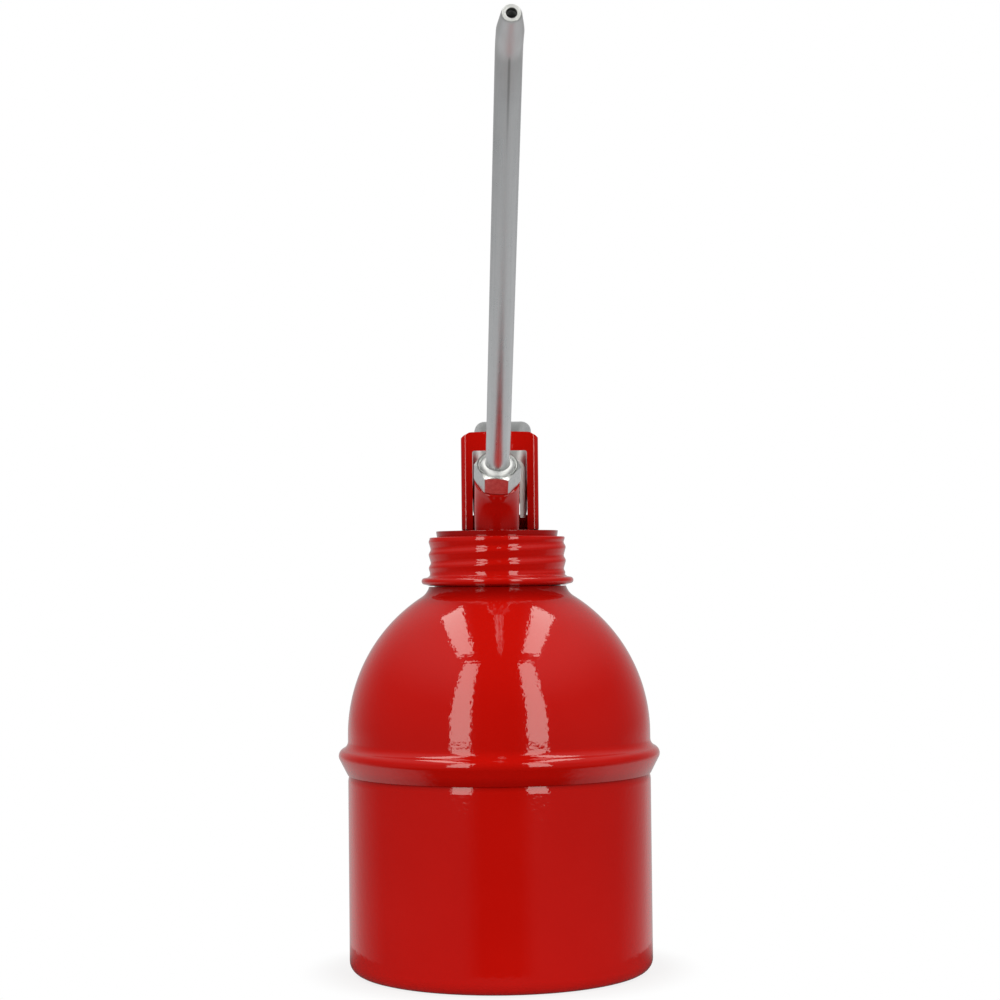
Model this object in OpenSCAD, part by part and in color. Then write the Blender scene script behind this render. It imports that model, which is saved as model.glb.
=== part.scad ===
// Pump oil can: a thumb lever lifts a plunger and oil leaves by a long rigid spout.
// Millimetres. The base stands on z = 0, the spout points to -Y and the lever to +Y.

/* [Can] */
// Outer radius of the can body
can_r = 45; // [40:0.5:60]
// Thickness of the body, dome and cap sheet
sheet_t = 0.6; // [0.5:0.05:0.8]
// Radius of the rounded bottom edge
base_edge_r = 3.5; // [2:0.25:6]
// Height of the lower edge of the dome's skirt
skirt_h = 58.3; // [45:0.5:90]
// How far the rolled seam bead stands out of the body
seam_out = 2.75; // [2.5:0.05:3.2]
// Radius of the rolled seam bead's nose
seam_nose_r = 2.2; // [1.9:0.05:2.4]
// Height of the bead's nose above the skirt edge
seam_rise = 5.6; // [5:0.1:7]
// Radius of the dome's arc
dome_r = 48.3; // [46:0.1:52]

/* [Neck and cap] */
// Outer radius of the plain collar at the foot of the neck
collar_r = 20.36; // [20.2:0.02:20.8]
// Height of that collar above its fillet
collar_h = 0.9; // [0.5:0.1:2]
// Outer radius of the neck inside the cap
neck_r = 18.85; // [18.3:0.05:18.9]
// Height of the neck above the collar
neck_h = 12.6; // [12.6:0.1:16]
// Thickness of the cap gasket
gasket_t = 1.5; // [1:0.1:2.5]
// Radius midway between crest and root of the cap's rolled thread
wave_r = 20; // [19.95:0.05:20.4]
// Half the depth of the rolled thread
wave_amp = 0.26; // [0.1:0.02:0.3]
// Pitch of the thread
thread_pitch = 4; // [3:0.25:5]
// Radius of the rolled hem at the foot of the cap
hem_r = 22.7; // [22:0.05:23.5]
// Radius of the cap's raised crown
crown_r = 18.24; // [18:0.02:18.6]
// Height of the crown above the cap's shoulder
crown_h = 1.8; // [1.2:0.1:3]

/* [Head frame] */
// Width of the frame across its cheeks
frame_w = 23; // [22:0.5:25]
// Height of the frame above the crown
frame_h = 29.5; // [28:0.5:36]
// Thickness of the frame sheet
frame_t = 1.5; // [1.2:0.1:1.7]
// How far the frame stands to the right of the pump axis
frame_shift = 1; // [0:0.1:1.2]
// Distance of the frame's front face ahead of the pump axis
frame_front = 4.3; // [3.9:0.1:4.4]
// Width of the window in the frame's front
window_w = 16.2; // [16.1:0.1:17]
// Height of the window above the crown
window_h = 23.85; // [22:0.25:25]

/* [Spout] */
// Outer radius of the curved barrel that carries the spout
barrel_r = 6.6; // [6:0.1:6.8]
// Distance of the barrel ahead of the pump axis
barrel_front = 11.1; // [11:0.1:11.4]
// Radius of the bend that leads from the crown to the spout
elbow_r = 20.2; // [16:0.2:28]
// Angle of the spout above the horizontal
spout_angle = 45; // [30:1:55]
// Angle by which the spout is set to the right of straight ahead
spout_turn = 2.3; // [-10:0.1:10]
// Width across the flats of the spout nut
spout_nut_af = 12; // [11.9:0.1:12.6]
// Length of the spout nut
spout_nut_l = 6.3; // [6:0.1:9]
// Outer radius of the spout tube
tube_r = 3.4; // [3:0.1:4.2]
// Wall of the spout tube
tube_wall = 0.7; // [0.5:0.1:1]
// Straight length of the spout from the nut to the bend
tube_l = 137.3; // [80:0.1:220]
// Radius of the bend near the tip
bend_r = 12; // [8:0.5:25]
// Angle of that bend
bend_angle = 30; // [0:1:40]
// Length of the straight stretch after the bend
nose_l = 4.6; // [2:0.1:20]
// Length of the conical tip
tip_l = 8; // [5:0.5:16]
// Radius at the end of the tip
tip_r = 2.42; // [2:0.02:2.8]
// Radius of the oil hole in the tip
tip_hole_r = 1.25; // [0.6:0.05:1.5]

/* [Lever] */
// Thickness of the lever sheet
lever_t = 1.6; // [1.2:0.1:1.8]
// Distance from the lever's pivot to the link pin
lever_arm = 12.5; // [12:0.1:13]
// Swing of the lever when pressed
lever_swing = 25; // [10:1:25]
// Height of the pivot above the crown
pivot_h = 12.3; // [12:0.1:13.5]
// Radius of the pivot pin
pivot_r = 2; // [1.5:0.1:2.4]
// Radius of the link pin
link_r = 1.5; // [1.2:0.1:1.7]
// Half width of the lever at its front end
lever_front_hw = 7.55; // [7.3:0.05:7.6]
// Half width of the lever between the cheeks
lever_mid_hw = 8.2; // [8:0.05:8.5]
// Half width of the thumb plate
lever_pad_hw = 8.8; // [8.6:0.1:12]
// Height of the lever's front end above the crown
lever_front_h = 21.2; // [20:0.1:22.4]
// Lowest point of the front legs above the crown
lever_low_h = 3.8; // [3.5:0.1:5]
// Height of the lever's crest above the crown
crest_h = 34.6; // [32:0.2:40]
// Distance of the crest behind the pump axis
crest_y = 31; // [28:0.5:40]
// Length of the thumb plate behind the crest
pad_l = 17; // [12:0.5:30]
// Drop of the thumb plate's end below the crest
pad_drop = 3.6; // [1:0.2:6]

/* [Pump] */
// Radius of the plunger rod
rod_r = 1.75; // [1.5:0.05:2]
// Bore radius of the pump cylinder
bore_r = 4.75; // [4.5:0.05:4.9]
// Wall of the pump cylinder
cylinder_wall = 1; // [0.8:0.05:1.1]
// Length of the pump cylinder
cylinder_l = 39; // [34:0.5:50]
// Radius of the pump block under the crown
block_r = 16.5; // [16:0.1:17.3]
// Thickness of the pump block
block_t = 10; // [9.6:0.1:12]
// Radius of the return spring, to the middle of its wire
spring_r = 3.7; // [3.3:0.05:3.8]
// Radius of the spring wire
wire_r = 0.5; // [0.3:0.05:0.6]
// Number of turns of the return spring
spring_turns = 9; // [6:1:12]
// Outer radius of the suction tube
suction_r = 3; // [2.8:0.1:3.6]
// Height of the suction tube's end above the base
suction_end_h = 6; // [5:0.5:20]

/* [Hidden] */
$fn = 72;

red = "#b3110f";
zinc = "#b9bcc0";
chrome = "#d4d7da";
brass = "#c2a15a";
black = "#1c1c1d";

// Clearances: fixed fits, threads, running fits and the looser gaps between sheets
fit_gap = 0.02;
thread_gap = 0.05;
run_gap = 0.06;
sheet_gap = 0.1;
seat_gap = 0.3;

// Heights, from the seam up to the top of the crown
dome_foot_h = skirt_h + 11.7;
skirt_t = sheet_t - 0.1;
skirt_in_r = can_r + 0.15 - skirt_t;
dome_centre = [can_r - dome_r, dome_foot_h];
neck_fillet_r = 1.2;
neck_fillet_dx = collar_r + neck_fillet_r - dome_centre[0];
neck_foot_h = dome_foot_h + sqrt(pow(dome_r + neck_fillet_r, 2) - pow(neck_fillet_dx, 2));
collar_top_h = neck_foot_h + collar_h;
rim_h = collar_top_h + neck_h;
shoulder_h = rim_h + gasket_t + sheet_t;
crown_z = shoulder_h + crown_h;
neck_bore_r = neck_r - sheet_t - sheet_gap;

// Lever and plunger, with heights above the crown
pivot_y = lever_arm * cos(lever_swing / 2);
link_h = pivot_h - lever_arm * sin(lever_swing / 2);
plunger_travel = 2 * lever_arm * sin(lever_swing / 2);
lever_front_y = sheet_gap + frame_t - frame_front + 0.7;
eye_r = link_r + 1.5;
eye_w = 5;

// Pump, with depths below the crown counted as negative heights
block_top = -sheet_t;
block_low = block_top - block_t;
chamber_top = block_top - 2.6;
channel_h = chamber_top - 1.8;
channel_r = 1.2;
stuffing_r = rod_r + 0.65;
stuffing_low = chamber_top + 1.6;
boss_r = stuffing_r + 0.7;
boss_h = 4;
gland_af = 8;
gland_l = 6;
gland_roof_h = boss_h + sheet_t;
cylinder_r = bore_r + cylinder_wall;
cylinder_top = block_low + 4.4;
cylinder_low = cylinder_top - cylinder_l;
stop_t = 0.8;
foot_ball_r = 2;
foot_seat_r = 1.3;
foot_lift = 1;
foot_seat_h = cylinder_low - stop_t - foot_ball_r - sqrt(pow(foot_ball_r, 2) - pow(foot_seat_r, 2))
    - foot_lift - 2 * run_gap;
foot_low = foot_seat_h - 2.4;
foot_cup_h = 5;
foot_stem_l = 5;
foot_overlap = 1;
piston_low = cylinder_low + 2;
piston_l = 8;
piston_top = piston_low + piston_l;
piston_r = bore_r - 0.35;
piston_seat_h = piston_low + 2.6;
piston_seat_r = 1.1;
piston_ball_r = 1.8;
piston_lift = 0.5;
piston_roof_h = piston_seat_h + piston_ball_r + sqrt(pow(piston_ball_r, 2) - pow(piston_seat_r, 2))
    + piston_lift + 2 * run_gap;
cup_low = piston_low + 0.6;
cup_l = 3.2;
spigot_r = 3;
plug_r = channel_r + 0.7;
plug_start = barrel_front + spigot_r + 2 * sheet_gap;
spigot_bore_r = 1.5;
barrel_nut_t = 3;
suction_wall = 0.8;
suction_bore_r = suction_r - suction_wall;

// Spout, along its own axis from the upper end of the barrel's bend
elbow_angle = 90 - spout_angle;
socket_l = 3.6;
nut_start = 0.2;
nut_end = nut_start + spout_nut_l;
nut_lip = 1.6;
nut_bore_r = spout_nut_af / 2 - 0.55;
lip_r = nut_bore_r - 0.25;
seal_t = 0.5;

function arc(centre, r, from, to, steps) =
    [for (i = [0:steps]) centre + r * [cos(from + (to - from) * i / steps), sin(from + (to - from) * i / steps)]];

function reversed(list) = [for (i = [len(list) - 1:-1:0]) list[i]];

function ease(t) = t * t * (3 - 2 * t);

// Angle at which a straight line from a point touches a circle on its right-hand side
function tangent_angle(point, centre, r) =
    atan2(point[1] - centre[1], point[0] - centre[0]) + acos(r / norm(point - centre));

module lathe(points) {
    rotate_extrude() polygon(points);
}

module ring(outer, inner, low, high) {
    lathe([[inner, low], [outer, low], [outer, high], [inner, high]]);
}

module rod_along_x(r, width, y, z) {
    translate([-width / 2, y, z]) rotate([0, 90, 0]) cylinder(r = r, h = width);
}

// A hexagon prism with both ends turned to a shallow cone
module hex_blank(af, length) {
    corner_r = af / 2 / cos(30);
    chamfer = 0.55 * (corner_r - af / 2) + 0.1;
    intersection() {
        cylinder(r = corner_r, h = length, $fn = 6);
        lathe([[0, 0], [af / 2, 0], [corner_r + 0.02, chamfer], [corner_r + 0.02, length - chamfer],
               [af / 2, length], [0, length]]);
    }
}

// Outline of the seam bead and dome, drawn once for the outer face and once for the inner one
function seam_side(inset) =
    let (nose = [can_r + seam_out - seam_nose_r, skirt_h + seam_rise],
         foot = [skirt_in_r + skirt_t - inset, skirt_h],
         fillet_r = 2.6 + inset,
         fillet_x = can_r - inset + fillet_r,
         nose_r = seam_nose_r - inset,
         rise = sqrt(pow(nose_r + fillet_r, 2) - pow(fillet_x - nose[0], 2)),
         top_angle = atan2(rise, fillet_x - nose[0]))
    concat([foot],
           arc(nose, nose_r, tangent_angle(foot, nose, nose_r), top_angle, 8),
           arc([fillet_x, nose[1] + rise], fillet_r, 180 + top_angle, 180, 5));

function dome_side(inset, end_r) =
    arc(dome_centre, dome_r - inset, 0, acos((end_r - dome_centre[0]) / (dome_r - inset)), 24);

module body_cup() {
    inner_edge_r = base_edge_r - sheet_t;
    bead_h = skirt_h + seam_rise;
    // The wall draws in under the skirt along one long arc
    step_r = skirt_in_r - fit_gap;
    joggle_h = 3;
    joggle_in = can_r - step_r;
    joggle_r = (pow(joggle_h, 2) + pow(joggle_in, 2)) / (2 * joggle_in);
    joggle_angle = asin(joggle_h / joggle_r);
    outside = concat(
        [[0, 0], [can_r * 0.58, 0], [can_r * 0.61, 1], [can_r * 0.67, 1], [can_r * 0.7, 0]],
        arc([can_r - base_edge_r, base_edge_r], base_edge_r, -90, 0, 8),
        arc([can_r - joggle_r, skirt_h - joggle_h], joggle_r, 0, joggle_angle, 4),
        [[step_r, skirt_h + 2], [can_r + 1.2, bead_h]]);
    inside = concat(
        [[can_r + 1.2 - sheet_t, bead_h + 0.2], [step_r - sheet_t, skirt_h + 2.2],
         [step_r - sheet_t, skirt_h], [can_r - sheet_t, skirt_h - joggle_h]],
        arc([can_r - base_edge_r, base_edge_r], inner_edge_r, 0, -90, 8),
        [[can_r * 0.7, sheet_t], [can_r * 0.67, 1 + sheet_t], [can_r * 0.61, 1 + sheet_t],
         [can_r * 0.58, sheet_t], [0, sheet_t]]);
    color(red) lathe(concat(outside, inside));
}

module dome_shell() {
    fillet_centre = [collar_r + neck_fillet_r, neck_foot_h];
    touch_angle = atan2(neck_foot_h - dome_foot_h, neck_fillet_dx);
    inner_collar_r = collar_r - sheet_t;
    outside = concat(
        seam_side(0),
        arc(dome_centre, dome_r, 0, touch_angle, 24),
        arc(fillet_centre, neck_fillet_r, 180 + touch_angle, 180, 5),
        [[collar_r, collar_top_h], [neck_r, collar_top_h], [neck_r, rim_h]]);
    inside = concat(
        [[neck_bore_r, rim_h], [neck_bore_r, collar_top_h - sheet_t],
         [inner_collar_r, collar_top_h - sheet_t]],
        reversed(dome_side(sheet_t, inner_collar_r)),
        reversed(seam_side(skirt_t)));
    color(red) lathe(concat(outside, inside));
}

module screw_cap() {
    foot = collar_top_h + seat_gap;
    hem_z = foot + 1.35;
    bore = neck_r + seat_gap;
    wave_low = foot + 3.2;
    wave_high = shoulder_h - 0.9;
    crest_z = shoulder_h - 1.8;
    steps = 40;
    skirt_wave = [for (i = [0:steps])
        let (z = wave_low + (wave_high - wave_low) * i / steps)
        [wave_r + wave_amp * cos(360 * (z - crest_z) / thread_pitch), z]];
    outside = concat(
        [[collar_r + 0.2, foot], [hem_r - 0.5, foot + 0.75]],
        arc([hem_r - 0.6, hem_z], 0.6, -60, 75, 6),
        [[wave_r + 1, foot + 2.3]],
        skirt_wave,
        [[wave_r - 0.35, shoulder_h - 0.2], [crown_r + 0.5, shoulder_h], [crown_r, shoulder_h + 0.3]],
        arc([crown_r - 0.5, crown_z - 0.5], 0.5, 0, 90, 4),
        [[0, crown_z]]);
    inside = [[0, crown_z - sheet_t], [crown_r - sheet_t, crown_z - sheet_t],
              [crown_r - sheet_t, shoulder_h - sheet_t], [bore, shoulder_h - sheet_t], [bore, foot]];
    color(red) difference() {
        lathe(concat(outside, inside));
        translate([0, 0, crown_z - 2]) cylinder(r = boss_r + thread_gap, h = 4);
        translate([0, -barrel_front, crown_z - 2]) cylinder(r = spigot_r + thread_gap, h = 4);
    }
}

module cap_gasket() {
    color(black) ring(neck_r + 0.15, neck_bore_r - 1.1, rim_h, rim_h + gasket_t);
}

module head_frame() {
    half = frame_w / 2;
    corner_r = 2.8;
    fold_r = 1.2;
    crown_drop = 0.3;
    rear_h = 5;
    foot_back = 12.2;
    boss = 5;
    flat_half = half - corner_r;
    front_outline = concat(
        [[half, 0]],
        arc([flat_half, frame_h - crown_drop - corner_r], corner_r, 0, 90, 6),
        [for (x = [flat_half - 1.7:-2:1.7 - flat_half]) [x, frame_h - crown_drop * pow(x / flat_half, 2)]],
        arc([-flat_half, frame_h - crown_drop - corner_r], corner_r, 90, 180, 6),
        [[-half, 0]]);
    plan_outline = concat(
        [[half, foot_back + 10]],
        [[half, fold_r - frame_front]],
        arc([half - fold_r, fold_r - frame_front], fold_r, 0, -90, 5),
        arc([fold_r - half, fold_r - frame_front], fold_r, -90, -180, 5),
        [[-half, foot_back + 10]]);
    side_outline = concat(
        [[-frame_front - 1, 0], [foot_back, 0], [pivot_y + boss, pivot_h - 3]],
        arc([pivot_y, pivot_h], boss, 0, 60, 5),
        [[3, frame_h - 1], [1.5, frame_h + 1], [-frame_front - 1, frame_h + 1]]);
    color(red) translate([frame_shift, 0, crown_z]) difference() {
        intersection() {
            linear_extrude(frame_h + 2) polygon(plan_outline);
            translate([0, 30, 0]) rotate([90, 0, 0]) linear_extrude(60) polygon(front_outline);
            rotate([90, 0, 90]) translate([0, 0, -half - 1])
                linear_extrude(frame_w + 2) polygon(side_outline);
        }
        // Space between the front plate, the cheeks and the low rear wall
        translate([frame_t - half, frame_t - frame_front, -1])
            cube([frame_w - 2 * frame_t, foot_back - 2 * frame_t + frame_front, frame_h + 3]);
        translate([frame_t - half, foot_back - 2 * frame_t, rear_h])
            cube([frame_w - 2 * frame_t, 20, frame_h]);
        translate([frame_t - half, foot_back, -1])
            cube([frame_w - 2 * frame_t, 20, frame_h]);
        // Window for the lever's legs
        translate([-window_w / 2, -frame_front - 1, -1]) cube([window_w, frame_t + 2, window_h + 1]);
        rod_along_x(pivot_r + fit_gap, frame_w + 2, pivot_y, pivot_h);
    }
}

// Moves its children to the upper end of the barrel's bend, with +Z along the spout
module on_spout() {
    translate([0, -barrel_front, crown_z]) rotate([0, 0, spout_turn])
        translate([0, -elbow_r * (1 - cos(elbow_angle)), elbow_r * sin(elbow_angle)])
            rotate([elbow_angle, 0, 0]) children();
}

// A round rod along the barrel's bend, from an angle above the crown to the upper end
module elbow_rod(r, from) {
    translate([0, -barrel_front, crown_z]) rotate([0, 0, spout_turn]) translate([0, -elbow_r, 0])
        rotate([90, 0, 90]) rotate([0, 0, from])
            rotate_extrude(angle = elbow_angle - from) translate([elbow_r, 0]) circle(r = r);
}

module barrel() {
    bore = tube_r - tube_wall;
    bore_foot_h = 2;
    spigot_low = block_low - barrel_nut_t - 0.5;
    spigot_bore_low = channel_h - 2 * channel_r;
    color(red) difference() {
        union() {
            translate([0, -barrel_front, crown_z + spigot_low]) cylinder(r = spigot_r, h = 1 - spigot_low);
            elbow_rod(barrel_r, 0);
            on_spout() translate([0, 0, -1]) cylinder(r = nut_bore_r - thread_gap, h = socket_l + 1);
        }
        translate([0, -barrel_front, crown_z]) {
            translate([0, 0, spigot_bore_low])
                cylinder(r = spigot_bore_r, h = bore_foot_h + 1 - spigot_bore_low);
            translate([0, 0, channel_h]) rotate([-90, 0, 0]) cylinder(r = channel_r, h = spigot_r + 2);
        }
        elbow_rod(bore, asin(bore_foot_h / elbow_r));
        on_spout() translate([0, 0, -seat_gap]) cylinder(r = bore + fit_gap, h = socket_l + 1);
    }
}

module barrel_nut() {
    color(brass) translate([0, -barrel_front, crown_z + block_low - barrel_nut_t]) difference() {
        rotate([0, 0, 30]) hex_blank(8.5, barrel_nut_t);
        translate([0, 0, -1]) cylinder(r = spigot_r + thread_gap, h = barrel_nut_t + 2);
    }
}

module spout_nut() {
    color(chrome) on_spout() translate([0, 0, nut_start]) difference() {
        hex_blank(spout_nut_af, spout_nut_l);
        translate([0, 0, -1]) cylinder(r = nut_bore_r, h = spout_nut_l - nut_lip + 1);
        translate([0, 0, -1]) cylinder(r = lip_r, h = spout_nut_l + 2);
    }
}

module spout_seal() {
    color(black) on_spout() ring(nut_bore_r - sheet_gap, tube_r - tube_wall, socket_l, socket_l + seal_t);
}

// The spout's path as solid stretches: tube, bend, nose and tip
module spout_path(r, end_r, over) {
    translate([0, 0, -over]) cylinder(r = r, h = tube_l + nut_end - socket_l - seal_t + over);
    translate([0, -bend_r, tube_l + nut_end - socket_l - seal_t]) {
        rotate([90, 0, 90]) rotate_extrude(angle = bend_angle) translate([bend_r, 0]) circle(r = r);
        rotate([bend_angle, 0, 0]) translate([0, bend_r, 0]) {
            translate([0, 0, -seat_gap]) cylinder(r = r + fit_gap, h = nose_l + seat_gap);
            translate([0, 0, nose_l]) cylinder(r1 = r + fit_gap, r2 = end_r, h = tip_l);
            translate([0, 0, nose_l + tip_l - 0.01]) cylinder(r = end_r, h = over + 0.01);
        }
    }
}

module spout_tube() {
    foot = socket_l + seal_t;
    flange_t = nut_end - nut_lip - foot - fit_gap;
    dome_h = nut_lip;
    collar_outer = lip_r - sheet_gap;
    color(zinc) on_spout() translate([0, 0, foot]) difference() {
        union() {
            spout_path(tube_r, tip_r, 0);
            cylinder(r = nut_bore_r - sheet_gap, h = flange_t);
            lathe(concat([[0, 0], [collar_outer, 0]],
                         [for (a = [0:15:90]) [tube_r + (collar_outer - tube_r) * cos(a),
                                               flange_t + 0.6 + dome_h * sin(a)]],
                         [[0, flange_t + 0.6 + dome_h]]));
        }
        spout_path(tube_r - tube_wall, tip_hole_r, 1);
    }
}

module pump_block() {
    color(brass) translate([0, 0, crown_z]) difference() {
        union() {
            translate([0, 0, block_low]) cylinder(r = block_r, h = block_t);
            cylinder(r = boss_r, h = boss_h);
            translate([0, 0, block_top - 1]) cylinder(r = boss_r, h = 2);
        }
        translate([0, 0, block_low - 1]) cylinder(r = cylinder_r + fit_gap, h = cylinder_top - block_low + 1);
        translate([0, 0, block_low]) cylinder(r = bore_r, h = chamber_top - block_low);
        translate([0, 0, chamber_top - 1]) cylinder(r = rod_r + run_gap, h = 4);
        translate([0, 0, stuffing_low]) cylinder(r = stuffing_r, h = boss_h - stuffing_low + 1);
        translate([0, -barrel_front, block_low - 1]) cylinder(r = spigot_r + thread_gap, h = block_t + 2);
        translate([0, 0, channel_h]) rotate([90, 0, 0]) {
            cylinder(r = channel_r, h = block_r + 1);
            translate([0, 0, plug_start]) cylinder(r = plug_r, h = 4);
        }
    }
}

module channel_plug() {
    color(brass) translate([0, 0, crown_z + channel_h]) rotate([90, 0, 0])
        translate([0, 0, plug_start]) cylinder(r = plug_r - fit_gap, h = block_r - seat_gap - plug_start);
}

module gland_nut() {
    color(brass) translate([0, 0, crown_z]) difference() {
        hex_blank(gland_af, gland_l);
        translate([0, 0, -1]) cylinder(r = boss_r + thread_gap, h = gland_roof_h + 1);
        cylinder(r = rod_r + run_gap, h = gland_l + 1);
    }
}

module gland_packing() {
    color(black) translate([0, 0, crown_z])
        ring(stuffing_r - fit_gap, rod_r + run_gap, stuffing_low + fit_gap, gland_roof_h - fit_gap);
}

module pump_cylinder() {
    color(brass) translate([0, 0, crown_z]) ring(cylinder_r, bore_r, cylinder_low, cylinder_top);
}

module valve_stop() {
    color(brass) translate([0, 0, crown_z + cylinder_low - stop_t]) difference() {
        cylinder(r = cylinder_r - fit_gap, h = stop_t);
        for (a = [0:90:270]) rotate([0, 0, a]) translate([2.2, 0, -1]) cylinder(r = 0.7, h = stop_t + 2);
    }
}

module foot_valve() {
    cup_r = cylinder_r + fit_gap;
    color(brass) translate([0, 0, crown_z]) difference() {
        union() {
            translate([0, 0, foot_low]) cylinder(r = cylinder_r + 1.2, h = cylinder_low + foot_cup_h - foot_low);
            translate([0, 0, foot_low - foot_stem_l])
                cylinder(r = suction_bore_r - fit_gap, h = foot_stem_l + foot_overlap);
        }
        translate([0, 0, cylinder_low - stop_t]) cylinder(r = cup_r, h = stop_t + foot_cup_h + foot_overlap);
        translate([0, 0, foot_seat_h]) cylinder(r = foot_ball_r + 0.6, h = cylinder_low - foot_seat_h);
        translate([0, 0, foot_low - foot_stem_l - foot_overlap])
            cylinder(r = foot_seat_r, h = cylinder_low - foot_low + foot_stem_l);
    }
}

module foot_ball() {
    seat = sqrt(pow(foot_ball_r, 2) - pow(foot_seat_r, 2)) + run_gap;
    color(chrome) translate([0, 0, crown_z + foot_seat_h + seat]) sphere(r = foot_ball_r);
}

module suction_tube() {
    color(zinc) ring(suction_r, suction_bore_r, suction_end_h, crown_z + foot_low);
}

module strainer() {
    shell_r = suction_r + 1.2;
    low = suction_end_h - 3.4;
    collar = 3;
    color(brass) difference() {
        lathe([[0, low], [shell_r, low], [shell_r, suction_end_h + 4], [suction_r + 0.6, suction_end_h + 5],
               [suction_r + 0.6, suction_end_h + 4 + collar], [suction_r + fit_gap, suction_end_h + 4 + collar],
               [suction_r + fit_gap, suction_end_h + 3.6], [shell_r - sheet_t, suction_end_h + 3.4],
               [shell_r - sheet_t, low + sheet_t], [0, low + sheet_t]]);
        for (row = [0:2]) for (a = [0:45:315])
            rotate([0, 0, a + 22.5 * (row % 2)]) translate([0, 0, low + 2 + 2 * row])
                rotate([0, 90, 0]) cylinder(r = 0.55, h = shell_r + 1);
    }
}

module pivot_pin() {
    color(zinc) translate([frame_shift, 0, crown_z]) rod_along_x(pivot_r, frame_w, pivot_y, pivot_h);
}

module pivot_washers() {
    washer_t = frame_w / 2 - frame_t - lever_mid_hw - 2 * sheet_gap;
    color(zinc) for (side = [0, 1])
        translate([frame_shift, pivot_y, crown_z + pivot_h]) mirror([side, 0, 0])
            translate([lever_mid_hw + sheet_gap, 0, 0]) rotate([0, 90, 0]) difference() {
                cylinder(r = pivot_r + 1.8, h = washer_t);
                translate([0, 0, -1]) cylinder(r = pivot_r + fit_gap, h = washer_t + 2);
            }
}

// Lever: height of the web, height of the flange edges and half width at a distance y
tail_y = crest_y + pad_l;
tail_round = 5;
function web_h(y) = y < crest_y
    ? lever_front_h + (crest_h - lever_front_h) * sin(90 * (y - lever_front_y) / (crest_y - lever_front_y))
    : crest_h - pad_drop * pow((y - crest_y) / pad_l, 2);
function edge_h(y) = y < pivot_y
    ? lever_low_h + (pivot_h - 4.8 - lever_low_h) * ease(max(0, y - lever_front_y) / (pivot_y - lever_front_y))
    : y < crest_y
    ? pivot_h - 4.8 + (crest_h - 7 - pivot_h + 4.8) * ease((y - pivot_y) / (crest_y - pivot_y))
    : web_h(y) - 7 + 2.6 * (y - crest_y) / pad_l;
function half_w(y) =
    y < pivot_y - 4 ? lever_front_hw + (lever_mid_hw - lever_front_hw) * ease((y - lever_front_y) / (pivot_y - 4 - lever_front_y))
    : y < pivot_y + 4 ? lever_mid_hw
    : y < crest_y ? lever_mid_hw + (lever_pad_hw - lever_mid_hw) * ease((y - pivot_y - 4) / (crest_y - pivot_y - 4))
    : y < tail_y - tail_round ? lever_pad_hw
    : lever_pad_hw - tail_round + sqrt(max(0, pow(tail_round, 2) - pow(y - tail_y + tail_round, 2)));

lever_bend_r = 3;
function lever_section(y) =
    let (w = half_w(y), top = web_h(y), low = edge_h(y), r = lever_bend_r, s = lever_bend_r - lever_t)
    concat([[w, low]], arc([w - r, top - r], r, 0, 90, 5), arc([r - w, top - r], r, 90, 180, 5), [[-w, low]],
           [[lever_t - w, low]], arc([r - w, top - r], s, 180, 90, 5), arc([w - r, top - r], s, 90, 0, 5),
           [[w - lever_t, low]]);

// A channel through sections that list their outer side and then their inner side back, each at its own y
module through_sections(sections, places) {
    n = len(sections[0]);
    last = len(sections) - 1;
    points = [for (i = [0:last]) for (p = sections[i]) [p[0], places[i], p[1]]];
    sides = [for (i = [0:last - 1]) for (j = [0:n - 1])
        let (k = (j + 1) % n) each [[i * n + j, i * n + k, (i + 1) * n + k],
                                    [i * n + j, (i + 1) * n + k, (i + 1) * n + j]]];
    front = [for (j = [0:n / 2 - 2]) [n - 1 - j, n - 2 - j, j + 1, j]];
    back = [for (quad = front) [for (k = [3:-1:0]) last * n + quad[k]]];
    polyhedron(points, concat(sides, front, back));
}

module lever() {
    steps = 26;
    body_end = tail_y - tail_round;
    places = concat([for (i = [0:steps]) lever_front_y + (body_end - lever_front_y) * i / steps],
                    [for (a = [18:18:90]) body_end + tail_round * sin(a)]);
    color(zinc) translate([frame_shift, 0, crown_z]) difference() {
        through_sections([for (y = places) lever_section(y)], places);
        rod_along_x(pivot_r + run_gap, frame_w, pivot_y, pivot_h);
        rod_along_x(link_r + fit_gap, frame_w, 0, link_h);
    }
}

module link_pin() {
    color(zinc) translate([frame_shift, 0, crown_z]) rod_along_x(link_r, 2 * lever_front_hw, 0, link_h);
}

module plunger_rod() {
    slot_r = link_r + run_gap;
    slot_half = lever_arm * (1 - cos(lever_swing / 2)) + sheet_gap;
    low = piston_roof_h;
    color(zinc) translate([0, 0, crown_z]) difference() {
        union() {
            translate([0, 0, low]) cylinder(r = rod_r, h = link_h - low);
            rod_along_x(eye_r, eye_w, 0, link_h);
            translate([0, 0, gland_l + sheet_gap]) cylinder(r = eye_w / 2, h = link_h - gland_l - sheet_gap);
        }
        for (side = [-1, 1]) rod_along_x(slot_r, eye_w + 2, side * slot_half, link_h);
        translate([-eye_w, -slot_half, link_h - slot_r]) cube([2 * eye_w, 2 * slot_half, 2 * slot_r]);
    }
}

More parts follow.
